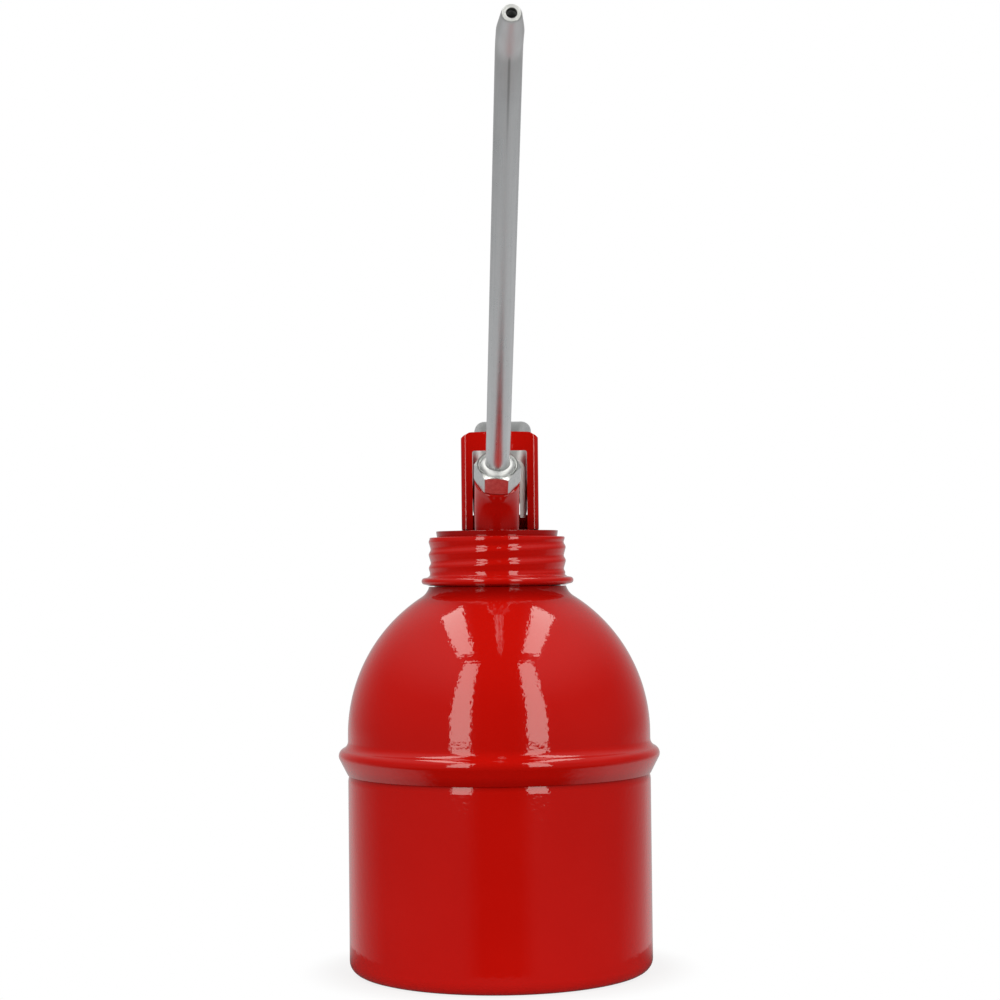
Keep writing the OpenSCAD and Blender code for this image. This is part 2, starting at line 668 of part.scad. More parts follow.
module piston() {
    color(brass) translate([0, 0, crown_z]) difference() {
        translate([0, 0, piston_low]) cylinder(r = piston_r, h = piston_l);
        translate([0, 0, cup_low]) difference() {
            cylinder(r = piston_r + 1, h = cup_l);
            translate([0, 0, -1]) cylinder(r = 3.3, h = cup_l + 2);
        }
        translate([0, 0, piston_low - 1]) cylinder(r = piston_seat_r, h = piston_l);
        translate([0, 0, piston_seat_h]) cylinder(r = piston_ball_r + 0.5, h = piston_roof_h - piston_seat_h);
        translate([0, 0, piston_roof_h - 0.5]) cylinder(r = rod_r + fit_gap, h = piston_l);
        for (a = [0:90:270]) rotate([0, 0, a]) translate([0, 0, piston_roof_h - 1])
            rotate([0, 90, 0]) cylinder(r = 0.8, h = bore_r + 1);
    }
}

module piston_cup() {
    lip_out = bore_r - run_gap;
    low = cup_low + fit_gap;
    high = cup_low + cup_l - fit_gap;
    color(black) translate([0, 0, crown_z])
        lathe([[3.32, low], [lip_out - 0.4, low], [lip_out, low + 0.8], [lip_out, high],
               [lip_out - 0.5, high], [3.9, low + 1.2], [3.32, low + 1.2]]);
}

module piston_ball() {
    seat = sqrt(pow(piston_ball_r, 2) - pow(piston_seat_r, 2)) + run_gap;
    color(chrome) translate([0, 0, crown_z + piston_seat_h + seat]) sphere(r = piston_ball_r);
}

// A wire swept along a helix, one octagon of points at each place
module return_spring() {
    per_turn = 14;
    count = spring_turns * per_turn;
    low = piston_top + wire_r + fit_gap;
    rise = chamber_top - fit_gap - wire_r - low;
    sides = 8;
    points = [for (i = [0:count]) for (k = [0:sides - 1])
        let (turn = 360 * i / per_turn, round = 360 * k / sides, reach = spring_r + wire_r * cos(round))
        [reach * cos(turn), reach * sin(turn), low + rise * i / count + wire_r * sin(round)]];
    skin = [for (i = [0:count - 1]) for (k = [0:sides - 1])
        let (m = (k + 1) % sides) each [[i * sides + k, (i + 1) * sides + k, (i + 1) * sides + m],
                                        [i * sides + k, (i + 1) * sides + m, i * sides + m]]];
    color(zinc) translate([0, 0, crown_z])
        polyhedron(points, concat(skin, [[for (k = [0:sides - 1]) k]],
                                  [[for (k = [sides - 1:-1:0]) count * sides + k]]));
}

body_cup();
dome_shell();
screw_cap();
cap_gasket();
head_frame();
barrel();
barrel_nut();
spout_nut();
spout_seal();
spout_tube();
pump_block();
channel_plug();
gland_nut();
gland_packing();
pump_cylinder();
valve_stop();
foot_valve();
foot_ball();
suction_tube();
strainer();
pivot_pin();
pivot_washers();
lever();
link_pin();
plunger_rod();
piston();
piston_cup();
piston_ball();
return_spring();
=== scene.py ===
# %% [markdown]
# # A pump oil can
# The solids of this can are already built and packed. This lesson dresses them: every surface
# that shows is made again as a smooth mesh in the same place, and gets the finish of the real
# thing. All lengths are written in millimetres, as on a drawing, and become metres on the way
# into Blender.

import math

import bmesh
import bpy
from mathutils import Matrix, Vector, geometry


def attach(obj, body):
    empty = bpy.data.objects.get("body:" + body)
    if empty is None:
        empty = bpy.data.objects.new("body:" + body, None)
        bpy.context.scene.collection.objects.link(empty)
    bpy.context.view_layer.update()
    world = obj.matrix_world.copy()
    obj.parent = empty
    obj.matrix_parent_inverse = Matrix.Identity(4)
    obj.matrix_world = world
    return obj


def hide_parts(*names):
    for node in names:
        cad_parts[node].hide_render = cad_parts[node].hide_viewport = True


MM = 0.001
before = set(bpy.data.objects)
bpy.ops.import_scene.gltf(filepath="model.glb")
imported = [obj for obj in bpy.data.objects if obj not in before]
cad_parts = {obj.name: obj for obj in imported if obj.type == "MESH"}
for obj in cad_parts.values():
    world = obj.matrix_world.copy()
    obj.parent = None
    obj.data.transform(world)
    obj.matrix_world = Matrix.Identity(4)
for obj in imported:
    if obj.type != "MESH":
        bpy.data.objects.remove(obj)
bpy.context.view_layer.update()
print("packed solids:", len(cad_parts))

# %% [markdown]
# ## The sizes that the pieces share
# The can, the cap and the pump head all stand on the same axis, so a few heights tie
# everything together. They repeat the drawing's own chain: seam, dome, neck, cap, crown.

# %% Heights and radii
can_r = 45
sheet_t = 0.6
skirt_h = 58.3
dome_foot_h = skirt_h + 11.7
dome_r = 48.3
dome_centre = Vector((can_r - dome_r, dome_foot_h))
collar_r, collar_h = 20.36, 0.9
neck_r, neck_h = 18.85, 12.6
gasket_t = 1.5
crown_h = 1.8
fillet_r = 1.2
fillet_x = collar_r + fillet_r
fillet_z = dome_centre.y + math.sqrt((dome_r + fillet_r) ** 2 - (fillet_x - dome_centre.x) ** 2)
collar_top = fillet_z + collar_h
rim_z = collar_top + neck_h
shoulder_z = rim_z + gasket_t + sheet_t
crown_z = shoulder_z + crown_h
thread_pitch = 4
thread_phase = 125.0
print("crown of the cap at", round(crown_z, 2), "mm")

# %% [markdown]
# ## The camera
# A still life of a small product is taken from well back with a long lens, so that upright
# lines stay nearly upright. This camera stands about seven and a half can widths away, a
# little below the top of the cap, and looks up by less than two degrees. It was also held
# slightly crooked, and the can leans in the picture because of it.

# %% Place the camera
camera_aside, camera_distance, camera_height = 1.0, 672.8, 120
camera_pitch, camera_roll = 1.655, 0.6
image_px, focal_px = 1000, 2250
eye = bpy.data.objects.new("camera", bpy.data.cameras.new("camera"))
bpy.context.scene.collection.objects.link(eye)
eye.data.sensor_width = 36
eye.data.lens = eye.data.sensor_width * focal_px / image_px
eye.matrix_world = (
    Matrix.Translation(Vector((camera_aside, -camera_distance, camera_height)) * MM)
    @ Matrix.Rotation(math.radians(90 + camera_pitch), 4, "X")
    @ Matrix.Rotation(math.radians(-camera_roll), 4, "Z")
)
bpy.context.scene.camera = eye
print("field of view:", round(math.degrees(eye.data.angle), 2), "degrees")

# %% [markdown]
# ## Writing shader maths as plain expressions
# A procedural finish is a small sum over masks and noises. Placed by hand, each plus sign is
# a node and two links. One class that wraps a socket lets Python's own operators add those
# nodes, and a single method makes any other node, so a finish reads like a formula.

# %% A socket that can be added and multiplied
class Wire:
    """The value that leaves one socket, with operators that add Math nodes."""

    def __init__(self, tree, socket=None):
        self.tree, self.socket = tree, socket

    def node(self, kind, settings=None, inputs=None, out=0):
        made = self.tree.nodes.new(kind)
        for key, value in (settings or {}).items():
            setattr(made, key, value)
        for key, value in (inputs or {}).items():
            if isinstance(value, Wire):
                self.tree.links.new(value.socket, made.inputs[key])
            else:
                made.inputs[key].default_value = value
        return Wire(self.tree, made.outputs[out] if made.outputs else None)

    def math(self, operation, first, second):
        return self.node("ShaderNodeMath", {"operation": operation}, {0: first, 1: second})

    def __add__(self, other):
        return self.math("ADD", self, other)

    __radd__ = __add__

    def __sub__(self, other):
        return self.math("SUBTRACT", self, other)

    def __rsub__(self, other):
        return self.math("SUBTRACT", other, self)

    def __mul__(self, other):
        return self.math("MULTIPLY", self, other)

    __rmul__ = __mul__

    def __pow__(self, power):
        return self.math("POWER", self, power)

    def __abs__(self):
        return self.math("ABSOLUTE", self, 0)


def at_least(value, low):
    return value.math("MAXIMUM", value, low)


def at_most(value, high):
    return value.math("MINIMUM", value, high)


def split_xyz(wire, vector):
    """The three parts of a vector, each as a wire of its own."""
    outputs = wire.node("ShaderNodeSeparateXYZ", {}, {"Vector": vector}).socket.node.outputs
    return [Wire(wire.tree, outputs[axis]) for axis in "XYZ"]


print("a Wire adds Math nodes for + - * ** and abs")

# %% [markdown]
# ## The few nodes that every finish uses
# Noise gives a surface its irregularity at one size, a ramp picks out and softens a range of
# it, a mix tints by it, and a bump lifts it. Each gets a short function that takes its sizes
# in millimetres, so that a finish can be read against the real thing.

# %% Noise, ramp, tint and bump
def noise(wire, coords, size_mm, detail=2.0, roughness=0.5):
    sockets = {"Vector": coords, "Scale": 1 / (size_mm * MM), "Detail": detail, "Roughness": roughness}
    return wire.node("ShaderNodeTexNoise", {}, sockets)


def ramp(wire, value, low, high, to_low=0.0, to_high=1.0):
    return wire.node(
        "ShaderNodeMapRange",
        {"interpolation_type": "SMOOTHSTEP"},
        {"Value": value, "From Min": low, "From Max": high, "To Min": to_low, "To Max": to_high},
    )


def tint(wire, factor, first, second):
    """Mixes two colours, each written as three numbers or already a wire."""
    first, second = (c if isinstance(c, Wire) else (*c, 1) for c in (first, second))
    return wire.node("ShaderNodeMix", {"data_type": "RGBA"}, {0: factor, 6: first, 7: second}, out=2)


def bump(wire, height, depth_mm, normal=None):
    inputs = {"Height": height, "Strength": 1.0, "Distance": depth_mm * MM}
    if normal:
        inputs["Normal"] = normal
    return wire.node("ShaderNodeBump", {}, inputs)


def new_finish(name, **constants):
    """A material with one Principled shader: its constants are set, its tree comes back."""
    material = bpy.data.materials.new(name)
    material.use_nodes = True
    shader = material.node_tree.nodes["Principled BSDF"]
    for key, value in constants.items():
        shader.inputs[key.replace("_", " ")].default_value = value
    wire = Wire(material.node_tree)
    return material, wire, wire.node("ShaderNodeTexCoord", out="Object")


def feed(material, **wires):
    shader = material.node_tree.nodes["Principled BSDF"]
    for key, wire in wires.items():
        material.node_tree.links.new(wire.socket, shader.inputs[key.replace("_", " ")])


print("shader helpers:", [f.__name__ for f in (noise, ramp, tint, bump, new_finish, feed)])

# %% [markdown]
# ## Red stoving enamel
# The sheet parts are sprayed and baked. The coat is glossy, but not a mirror: the drawn sheet
# under it has long shallow waves, and the paint itself dries with a fine orange peel, which
# is what frays the edges of the lamps' reflections. Two noises at those two sizes feed a bump.
# The paint is darkened where shade falls, as painted shade: under the cap's hem, round the foot
# of the seam, at the foot of the pump head, and faintly over the whole head. A mask could be
# painted by hand, but these places are all level rings, so bands of height mark them.

# %% Make the enamel
enamel, wire, coords = new_finish("red_enamel", IOR=1.6)
waves = noise(wire, coords, 14, detail=1.0)
peel = noise(wire, coords, 1.3, detail=1.5)
clouds = noise(wire, coords, 30, detail=3.0)
specks = noise(wire, coords, 0.5, detail=2.0)
height = split_xyz(wire, coords)[2]


def band(low_mm, dark_from, dark_to, high_mm):
    """1 from dark_from to dark_to millimetres of height, fading to 0 at low_mm and high_mm."""
    rising = ramp(wire, height, low_mm * MM, dark_from * MM)
    return rising * ramp(wire, height, high_mm * MM, dark_to * MM)


# Painted shade: each band darkens the paint where the cap, the seam or the pump head shades it, the last one
# faintly over the whole head.
cap_shade = band(collar_top - 6, collar_top - 0.4, collar_top + 0.1, collar_top + 0.25)
seam_shade = band(skirt_h - 1.8, skirt_h - 0.2, skirt_h + 0.3, skirt_h + 3.2)
head_foot_shade = band(shoulder_z - 0.1, shoulder_z + 0.3, crown_z, crown_z + 7)
head = band(shoulder_z - 0.1, shoulder_z + 0.3, crown_z + 8, crown_z + 34)
painted_shade = cap_shade * 0.65 + seam_shade * 0.3 + head_foot_shade * 0.4 + head * 0.2
deep_red, light_red, shade_red = (0.47, 0.0038, 0.0018), (0.57, 0.0062, 0.0030), (0.14, 0.0008, 0.0005)
paint = tint(wire, clouds * 0.7 + specks * 0.3, deep_red, light_red)
feed(
    enamel,
    Base_Color=tint(wire, painted_shade * ramp(wire, clouds, 0.2, 0.6, 0.8, 1.0), paint, shade_red),
    Roughness=ramp(wire, clouds * 0.6 + peel * 0.4, 0.3, 0.7, 0.03, 0.07),
    Normal=bump(wire, peel, 0.03, bump(wire, waves, 0.038)),
)
print("enamel nodes:", len(enamel.node_tree.nodes))

# %% [markdown]
# ## Zinc plate
# The spout and the lever are plated steel. Fresh zinc is pale and a little cloudy, and it
# keeps the marks of the tube mill and of handling, which all run along the piece. One
# material for both would run its marks across one of them. So the finish is a function: the
# noise is stretched along a direction that each piece gives, and the piece adds its own marks,
# along with painted shade, a painted reflection or a painted highlight.

# %% Make the zinc plate
def zinc_finish(name, turn, place, stretch, marks):
    """marks(wire, x, y, z) gives two masks: where the plate is dull, and where it is painted dark, as
    painted shade or a painted reflection.

    x, y and z are measured from place, along the turned axes, and shrunk by the stretch.
    """
    material, wire, coords = new_finish(name, Metallic=1.0)
    along = wire.node(
        "ShaderNodeMapping",
        {"vector_type": "TEXTURE"},
        {"Vector": coords, "Location": [v * MM for v in place], "Rotation": turn, "Scale": stretch},
    )
    streaks = noise(wire, along, 0.7, detail=3.0, roughness=0.6)
    clouds = noise(wire, coords, 7, detail=4.0, roughness=0.6)
    grain = noise(wire, coords, 0.35, detail=2.0)
    mixed = streaks * 0.45 + clouds * 0.4 + grain * 0.15
    dull, darkened = marks(wire, *split_xyz(wire, along))
    plate = tint(wire, ramp(wire, mixed, 0.3, 0.7) + dull * 0.8, (0.71, 0.73, 0.74), (0.85, 0.86, 0.87))
    feed(
        material,
        Base_Color=tint(wire, darkened, plate, (0.2, 0.2, 0.2)),
        Roughness=ramp(wire, clouds * 0.5 + streaks * 0.5, 0.3, 0.7, 0.26, 0.34) + dull * 0.3,
        Normal=bump(wire, streaks * 0.9 + grain * 0.1, 0.0035),
    )
    return material


# %% [markdown]
# ### The marks, painted shade and painted highlight of the spout and of the lever
# The spout's marks sit along its own axis, which starts where the barrel's bend ends. It is
# dull toward the tip and on its collar. A thin dark line on its underside just short of the
# bend is a painted reflection, and the mouth of its bore is painted dark, a painted shade. The
# lever is dullest at its front end, and its paler colour there is a painted highlight. Vertex
# colours could hold these marks, but a formula follows any change.

# %% Place the marks, the painted shade and the painted highlight
barrel_front, elbow_r = 11.1, 20.2
spout_turn, elbow_angle, bend_angle = (math.radians(a) for a in (2.3, 45, 30))
elbow_reach = elbow_r * (1 - math.cos(elbow_angle))
foot_of_spout = (
    elbow_reach * math.sin(spout_turn),
    -barrel_front - elbow_reach * math.cos(spout_turn),
    crown_z + elbow_r * math.sin(elbow_angle),
)
spout_stretch, lever_stretch = 30, 12


def spout_dulling_and_painted_dark(wire, x, y, z):
    length = z * spout_stretch

    def along(from_mm, to_mm):
        return ramp(wire, length, from_mm * MM, to_mm * MM)

    dull = along(128, 147) + along(8.5, 7.2) * 0.7
    # Painted reflection: a thin dark line along the underside of the tube, short of the bend.
    reflection_line = ramp(wire, abs(x), 0.5 * MM, 0.05 * MM) * ramp(wire, y, -1 * MM, -2 * MM)
    reflection_line = reflection_line * along(112, 138) * along(146.5, 144) * 0.5
    nose_y, nose_z = -1.608, 149.8
    aside = (y - nose_y * MM) * math.cos(bend_angle) + (length - nose_z * MM) * math.sin(bend_angle)
    # Painted shade: the mouth of the bore is painted dark, where shade falls inside it.
    bore = ramp(wire, x * x + aside * aside, (1.5 * MM) ** 2, (1.3 * MM) ** 2) * along(148, 150)
    return dull, reflection_line + bore


def lever_dulling_and_highlight(wire, x, y, z):
    # The front end is rougher, and the paler base colour there is a painted highlight.
    return 0.35 + ramp(wire, y * lever_stretch, 12 * MM, -1.5 * MM) * 0.4, 0.0


spout_axes = (elbow_angle, 0, spout_turn)
spout_zinc = zinc_finish("spout_zinc", spout_axes, foot_of_spout, (1, 1, spout_stretch), spout_dulling_and_painted_dark)
lever_zinc = zinc_finish("lever_zinc", (0, 0, 0), (0, 0, 0), (1, lever_stretch, 1), lever_dulling_and_highlight)
print("zinc finishes:", spout_zinc.name, lever_zinc.name)

# %% [markdown]
# ## Bright plate, brass and rubber
# The spout's nut is brighter than the spout, with a satin shine and faint spanner marks. The
# pump inside is turned brass, and its seals are moulded rubber with a slightly bloomed skin.
# Metal is mostly what it reflects, so the metals differ in roughness more than in colour.

# %% Make the nut's plate
satin_plate, wire, coords = new_finish("satin_plate", Metallic=1.0)
marks = noise(wire, coords, 1.1, detail=4.0, roughness=0.65)
fine = noise(wire, coords, 0.25, detail=2.0)
feed(
    satin_plate,
    Base_Color=tint(wire, ramp(wire, marks, 0.35, 0.65), (0.66, 0.68, 0.68), (0.80, 0.81, 0.80)),
    Roughness=ramp(wire, marks, 0.4, 0.7, 0.28, 0.38),
    Normal=bump(wire, marks * 0.8 + fine * 0.2, 0.0015),
)
print("nut's plate nodes:", len(satin_plate.node_tree.nodes))

# %% Make the brass and the rubber
turned_brass, wire, coords = new_finish("turned_brass", Metallic=1.0)
rings = wire.node("ShaderNodeMapping", {}, {"Vector": coords, "Scale": (0.04, 0.04, 1)})
lines = noise(wire, rings, 0.25, detail=3.0)
stain = noise(wire, coords, 6, detail=3.0)
feed(
    turned_brass,
    Base_Color=tint(wire, ramp(wire, stain, 0.35, 0.7), (0.72, 0.50, 0.20), (0.52, 0.35, 0.14)),
    Roughness=ramp(wire, stain * 0.5 + lines * 0.5, 0.3, 0.7, 0.22, 0.42),
    Normal=bump(wire, lines, 0.01),
)
seal_rubber, wire, coords = new_finish("seal_rubber")
bloom = noise(wire, coords, 3, detail=4.0)
feed(
    seal_rubber,
    Base_Color=tint(wire, bloom, (0.012, 0.012, 0.012), (0.035, 0.034, 0.032)),
    Roughness=ramp(wire, bloom, 0.3, 0.7, 0.45, 0.7),
    Normal=bump(wire, noise(wire, coords, 0.4), 0.02),
)
print("finishes:", [m.name for m in bpy.data.materials])

# %% [markdown]
# ## The solids that stay
# The pump, the pins and the seals are small and turned or moulded to simple shapes, and most
# of them are hidden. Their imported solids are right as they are. They keep their meshes and
# only get a finish in their material slots.

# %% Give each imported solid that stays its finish
for finish, nodes in (
    (turned_brass, "barrel_nut pump_block channel_plug gland_nut pump_cylinder"),
    (turned_brass, "valve_stop foot_valve strainer piston"),
    (seal_rubber, "cap_gasket spout_seal gland_packing piston_cup"),
    (lever_zinc, "suction_tube pivot_pin pivot_washers link_pin plunger_rod return_spring"),
    (satin_plate, "foot_ball piston_ball"),
):
    for node in nodes.split():
        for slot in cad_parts[node].material_slots:
            slot.material = finish
    print(finish.name, "on", nodes)


# %% [markdown]
# ## Turned shapes
# Spinning, drawing and rolling all leave round parts, and a round part is a closed outline
# turned about an axis. The outline is a list of corners, each with its own rounding, so that
# even a cut edge of sheet catches a line of light. A mesh of turned quads keeps the gloss
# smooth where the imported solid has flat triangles.

# %% Round the corners of an outline
def soften(corners, steps=6):
    """Replaces each corner (x, y, radius) with an arc. Corners with no radius stay sharp."""
    points = []
    for i, corner in enumerate(corners):
        here = Vector(corner[:2])
        radius = corner[2] if len(corner) > 2 else 0
        back = Vector(corners[i - 1][:2]) - here
        ahead = Vector(corners[(i + 1) % len(corners)][:2]) - here
        half = back.angle(ahead, 0) / 2
        if not radius or half < 0.02 or half > math.pi / 2 - 0.02:
            points.append(here)
            continue
        reach = min(radius / math.tan(half), back.length * 0.48, ahead.length * 0.48)
        radius = reach * math.tan(half)
        middle = here + (back.normalized() + ahead.normalized()).normalized() * radius / math.sin(half)
        start, end = here + back.normalized() * reach - middle, here + ahead.normalized() * reach - middle
        sweep = start.angle(end)
        for k in range(steps + 1):
            f = k / steps
            spoke = start * math.sin((1 - f) * sweep) + end * math.sin(f * sweep)
            points.append(middle + spoke / math.sin(sweep))
    return points


def guarded(outline, near=0.12, longest=6.0):
    """Adds points beside the ends of every long side, so that its gloss stays straight."""
    points = []
    for here, ahead in zip(outline, outline[1:] + outline[:1]):
        points.append(here)
        length = (ahead - here).length
        if length > 8 * near:
            inner = max(1, math.ceil((length - 2 * near) / longest))
            stops = [near + (length - 2 * near) * k / inner for k in range(inner + 1)]
            points += [here.lerp(ahead, stop / length) for stop in stops]
    return points


def arc(centre, radius, start, end, steps=12):
    angles = [math.radians(start + (end - start) * k / steps) for k in range(steps + 1)]
    return [Vector((centre[0] + radius * math.cos(a), centre[1] + radius * math.sin(a))) for a in angles]


print("a square with round corners:", len(soften([(0, 0, 1), (5, 0, 1), (5, 5, 1), (0, 5, 1)])), "points")

# %% [markdown]
# ### From outline to mesh
# Blender can turn an outline with its Screw modifier, but a thread needs every point to know
# its angle. So the mesh is built from columns of points, one outline at each angle, and an
# optional wave may move each point. The same grid of quads later serves the tubes, the nut
# and the lever. Every piece names the body that it rides on and the solid that it stands for.


def add_piece(name, body, verts, faces, finish, replaced, sharp_angle=38):
    """Makes one mesh object from points in metres, smooth except along real edges."""
    mesh = bpy.data.meshes.new(name)
    bm = bmesh.new()
    made = [bm.verts.new(v) for v in verts]
    for face in faces:
        bm.faces.new([made[i] for i in face])
    bmesh.ops.remove_doubles(bm, verts=bm.verts, dist=1e-7)
    bmesh.ops.recalc_face_normals(bm, faces=bm.faces)
    bm.to_mesh(mesh)
    bm.free()
    mesh.shade_smooth()
    mesh.set_sharp_from_angle(angle=math.radians(sharp_angle))
    mesh.materials.append(finish)
    piece = bpy.data.objects.new(name, mesh)
    bpy.context.scene.collection.objects.link(piece)
    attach(piece, body)
    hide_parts(replaced)
    print(name, "-", len(mesh.polygons), "faces")
    return piece


def grid_faces(columns, rows, close_columns=True):
    """Quads over a grid of points that is stored column by column, each column a closed loop."""
    faces = []
    for i in range(columns if close_columns else columns - 1):
        here, ahead = i * rows, (i + 1) % columns * rows
        for j in range(rows):
            above = (j + 1) % rows
            faces.append([here + j, here + above, ahead + above, ahead + j])
    return faces


def turned(outline, wave=None, segments=256):
    """Points and quads of a closed outline of (radius, height) turned about the Z axis."""
    outline = guarded(outline)
    verts = []
    for i in range(segments):
        angle = 2 * math.pi * i / segments
        for point in outline:
            r, z = wave(angle, *point) if wave else point
            verts.append(Vector((r * math.cos(angle), r * math.sin(angle), z)) * MM)
    return verts, grid_faces(segments, len(outline))


# %% [markdown]
# ## The body
# The lower half is one deep-drawn cup. Its bottom is pressed with a shallow ring to stiffen
# it, the edge is rounded by the die, and the rim is turned out into the seam. It could be
# a cylinder with a bevel, but the pressed bottom and the rounded edge are what the light
# shows, so the whole wall is one outline, outside and inside.

# %% Turn the body
flange_z = skirt_h + 5.6
base_edge_r = 3.5
ring_h = 1
cup_outline = soften(
    [
        (0, 0),
        (26.1, 0, 1.2),
        (27.4, ring_h, 0.8),
        (30.2, ring_h, 0.8),
        (31.5, 0, 1.2),
        (can_r, 0, base_edge_r),
        (can_r, skirt_h - 1.5, 12),
        (can_r - 0.37, skirt_h, 0.5),
        (can_r - 0.37, skirt_h + 2, 1.5),
        (can_r + 1.2, flange_z, 0.1),
        (can_r + 0.65, flange_z + 0.2, 0.1),
        (can_r - 1.0, skirt_h + 2.2, 1.0),
        (can_r - 1.0, skirt_h, 0.5),
        (can_r - sheet_t, skirt_h - 1.5, 2),
        (can_r - sheet_t, sheet_t, base_edge_r - sheet_t),
        (31.5, sheet_t, 0.8),
        (30.2, ring_h + sheet_t, 0.8),
        (27.4, ring_h + sheet_t, 0.8),
        (26.1, sheet_t, 0.8),
        (0, sheet_t),
    ],
    steps=8,
)
add_piece("body_wall", "can", *turned(cup_outline), enamel, "body_cup")

# %% [markdown]
# ## The dome
# The top is a second drawing, close to half a sphere. Its lower edge is rolled outward over
# the body's rim, and that roll is the bead round the can's waist. At the top it sweeps up to
# a short collar and then steps in to the neck, whose thread is rolled into the sheet. Each
# bend is an arc that touches its neighbours, worked out with a little trigonometry, because
# gloss shows a kink that a measuring eye would miss.

# %% Outline of the rolled seam
nose_r, seam_out = 2.2, 2.75
nose = Vector((can_r + seam_out - nose_r, flange_z))


def seam_side(inset):
    """The bead from the skirt's edge up to the dome, drawn this far inside its outer face."""
    foot = Vector((can_r + 0.15 - inset, skirt_h))
    joint_r = 2.6 + inset
    joint_x = can_r - inset + joint_r
    radius = nose_r - inset
    rise = math.sqrt((radius + joint_r) ** 2 - (joint_x - nose.x) ** 2)
    top = math.degrees(math.atan2(rise, joint_x - nose.x))
    offset = foot - nose
    first = math.degrees(math.atan2(offset.y, offset.x) + math.acos(radius / offset.length))
    hollow = arc((joint_x, nose.y + rise), joint_r, 180 + top, 180, 10)
    return [foot, *arc(nose, radius, first, top, 16), *hollow]


print("bead is", round(2 * (can_r + seam_out), 1), "mm across")

# %% Turn the dome with its threaded neck
neck_thread_depth = 0.38


def neck_thread(angle, r, z):
    """Presses a right-hand thread into the neck's outer wall, fading out at both ends."""
    if abs(r - neck_r) > 0.3 or z < collar_top + 0.5:
        return r, z
    fade = min(1, (z - collar_top - 0.5) / 1.5, (rim_z - z) / 1.2)
    wave = 0.5 + 0.5 * math.cos(2 * math.pi * (z - thread_phase) / thread_pitch - angle)
    return r - neck_thread_depth * max(0, fade) * (1 - wave), z


sweep_r, sweep_x = 5.2, 25.5
sweep_z = dome_centre.y + math.sqrt((dome_r + sweep_r) ** 2 - (sweep_x - dome_centre.x) ** 2)
touch = math.degrees(math.atan2(sweep_z - dome_centre.y, sweep_x - dome_centre.x))
sweep_top = math.degrees(math.asin((sweep_z - collar_top) / sweep_r))
inner_r, mouth_r = collar_r - sheet_t, 18.15
inner_touch = math.degrees(math.acos((inner_r - dome_centre.x) / (dome_r - sheet_t)))
neck_rise = [Vector((neck_r, collar_top + (rim_z - 0.2 - collar_top) * k / 60)) for k in range(1, 61)]
dome_outline = [
    *seam_side(0),
    *arc(dome_centre, dome_r, 0, touch, 48)[1:],
    *arc((sweep_x, sweep_z), sweep_r, 180 + touch, 180 + sweep_top, 16)[1:],
    Vector((neck_r + 0.05, collar_top)),
    *neck_rise,
    Vector((neck_r - 0.2, rim_z)),
    Vector((mouth_r, rim_z)),
    Vector((mouth_r, collar_top - sheet_t)),
    Vector((inner_r, collar_top - sheet_t)),
    *reversed(arc(dome_centre, dome_r - sheet_t, 0, inner_touch, 40)),
    *reversed(seam_side(0.5)),
]
add_piece("dome_wall", "can", *turned(dome_outline, neck_thread), enamel, "dome_shell")

# %% [markdown]
# ## The screw cap
# The cap is pressed from the same sheet. Its thread is rolled, so it shows outside as soft
# waves that climb to the right, and its foot is a rolled hem. A stack of rings would be
# simpler, but the silhouette gives it away: on a real thread the waves on the left stand
# half a pitch off those on the right. So each column of the mesh lifts the wave a little.

# %% Turn the cap with its rolled thread
wave_r, wave_amp = 20.2, 0.27
skirt_low, skirt_high = collar_top + 3.3, shoulder_z - 0.25


def cap_thread(angle, r, z):
    """Adds the rolled thread: a wave whose two flanks are not quite equally steep."""
    if r < wave_r - 0.4 or not collar_top + 3.4 < z < shoulder_z - 0.3:
        return r, z
    fade = min(1, (z - collar_top - 3.4) / 1.2, (shoulder_z - 0.3 - z) / 1.0)
    turn = 2 * math.pi * (z - thread_phase) / thread_pitch - angle
    wave = math.cos(turn) + 0.2 * math.sin(2 * turn)
    return r + wave_amp * max(0, fade) * wave, z


hem_z, cap_foot = collar_top + 1.65, collar_top + 0.3
crown_r, cap_in_r, crown_in_r = 18.24, 19.15, 17.64
foot = [(cap_in_r, cap_foot), (collar_r + 0.2, cap_foot, 0.15), (21.5, cap_foot + 0.36)]
groove = [(21.8, hem_z + 0.99), (20.9, hem_z + 1.15, 0.6)]
groove += [(wave_r, skirt_low, 0.8), (wave_r, skirt_low + 0.6)]
cap_outline = [
    *soften(foot)[:-1],
    *arc((21.7, hem_z), 1.0, -95, 80, 16),
    *soften(groove)[1:-1],
    *[Vector((wave_r, skirt_low + (skirt_high - skirt_low) * k / 72)) for k in range(73)],
    *soften(
        [
            (wave_r, skirt_high),
            (wave_r - 0.25, shoulder_z - 0.05, 0.3),
            (crown_r - 0.09, shoulder_z, 0.1),
            (crown_r - 0.26, shoulder_z + 0.1, 0.1),
            (crown_r, crown_z - 0.05, 0.12),
            (crown_r - 0.34, crown_z, 0.2),
            (0, crown_z),
        ]
    )[1:],
    Vector((0, crown_z - sheet_t)),
    Vector((crown_in_r, crown_z - sheet_t)),
    Vector((crown_in_r, shoulder_z - sheet_t)),
    Vector((cap_in_r, shoulder_z - sheet_t)),
]
add_piece("cap_wall", "head", *turned(cap_outline, cap_thread), enamel, "screw_cap")

# %% [markdown]
# ## The bracket
# The lever's bracket is one blank of thick sheet, with a window punched in its front and its
# two cheeks folded back. A box with a hole cut by a Boolean would leave sharp folds and
# long thin faces. It is made as the real one is: the flat blank is drawn as an outline with
# holes, filled with triangles, then every point is carried round the two folds. A low web
# joins the cheeks at the back. The punched edges get a small bevel, which catches the light.

